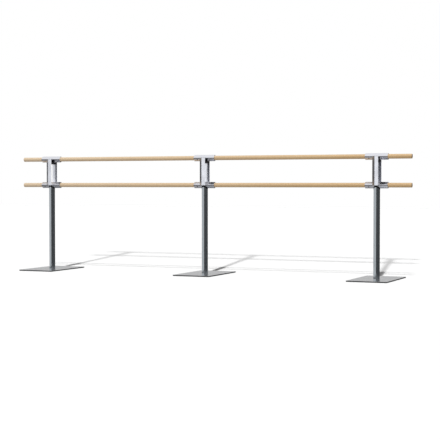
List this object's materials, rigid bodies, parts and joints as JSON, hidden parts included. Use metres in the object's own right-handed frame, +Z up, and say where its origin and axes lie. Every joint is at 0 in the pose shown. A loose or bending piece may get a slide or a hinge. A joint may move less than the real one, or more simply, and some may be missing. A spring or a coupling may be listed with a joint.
{
  "type": "ballet barre",
  "caption": "Free-standing ballet barre: an upper and a lower wooden bar held in square sleeves on round steel posts with flat rectangular floor plates.",
  "frame": {"origin": "on the floor under the middle stand", "axes": "+X along the bars, -Y the front, +Z up"},
  "size_m": [4, 0.64, 1.1295],
  "materials": {
    "beech": "clear satin varnish",
    "post_steel": "brushed, satin",
    "head_steel": "fine brushed, bright",
    "screw_steel": "black oxide",
    "black_plastic": "moulded, fine grain",
    "rubber": "matt"
  },
  "bodies": {
    "stands": {"left_base_mat": "rubber", "left_base_plate": "post_steel", "left_foot_screw": "screw_steel", "left_foot_plug": "post_steel", "left_post": "post_steel", "left_post_collar": "black_plastic", "left_spigot": "post_steel", "left_lower_sleeve": "head_steel", "left_upper_sleeve": "head_steel", "left_lower_front_lock_screw": "screw_steel", "left_lower_back_lock_screw": "screw_steel", "left_upper_front_lock_screw": "screw_steel", "left_upper_back_lock_screw": "screw_steel", "left_front_strut": "head_steel", "left_back_strut": "head_steel", "left_saddle_block": "black_plastic", "middle_base_mat": "rubber", "middle_base_plate": "post_steel", "middle_foot_screw": "screw_steel", "middle_foot_plug": "post_steel", "middle_post": "post_steel", "middle_post_collar": "black_plastic", "middle_spigot": "post_steel", "middle_lower_sleeve": "head_steel", "middle_upper_sleeve": "head_steel", "middle_lower_front_lock_screw": "screw_steel", "middle_lower_back_lock_screw": "screw_steel", "middle_upper_front_lock_screw": "screw_steel", "middle_upper_back_lock_screw": "screw_steel", "middle_front_strut": "head_steel", "middle_back_strut": "head_steel", "middle_saddle_block": "black_plastic", "right_base_mat": "rubber", "right_base_plate": "post_steel", "right_foot_screw": "screw_steel", "right_foot_plug": "post_steel", "right_post": "post_steel", "right_post_collar": "black_plastic", "right_spigot": "post_steel", "right_lower_sleeve": "head_steel", "right_upper_sleeve": "head_steel", "right_lower_front_lock_screw": "screw_steel", "right_lower_back_lock_screw": "screw_steel", "right_upper_front_lock_screw": "screw_steel", "right_upper_back_lock_screw": "screw_steel", "right_front_strut": "head_steel", "right_back_strut": "head_steel", "right_saddle_block": "black_plastic"},
    "lower_left_bar": {"lower_bar_left": "beech"},
    "lower_right_bar": {"lower_bar_right": "beech", "lower_joint_dowel": "beech"},
    "upper_left_bar": {"upper_bar_left": "beech"},
    "upper_right_bar": {"upper_bar_right": "beech", "upper_joint_dowel": "beech"}
  },
  "joints": [
    {"name": "lower_left_bar_slide", "type": "slide", "parent": "stands", "child": "lower_left_bar", "axis": [1, 0, 0], "range_m": [-0.09, 0]},
    {"name": "lower_right_bar_slide", "type": "slide", "parent": "stands", "child": "lower_right_bar", "axis": [1, 0, 0], "range_m": [0, 0.09]},
    {"name": "upper_left_bar_slide", "type": "slide", "parent": "stands", "child": "upper_left_bar", "axis": [1, 0, 0], "range_m": [-0.09, 0]},
    {"name": "upper_right_bar_slide", "type": "slide", "parent": "stands", "child": "upper_right_bar", "axis": [1, 0, 0], "range_m": [0, 0.09]}
  ]
}
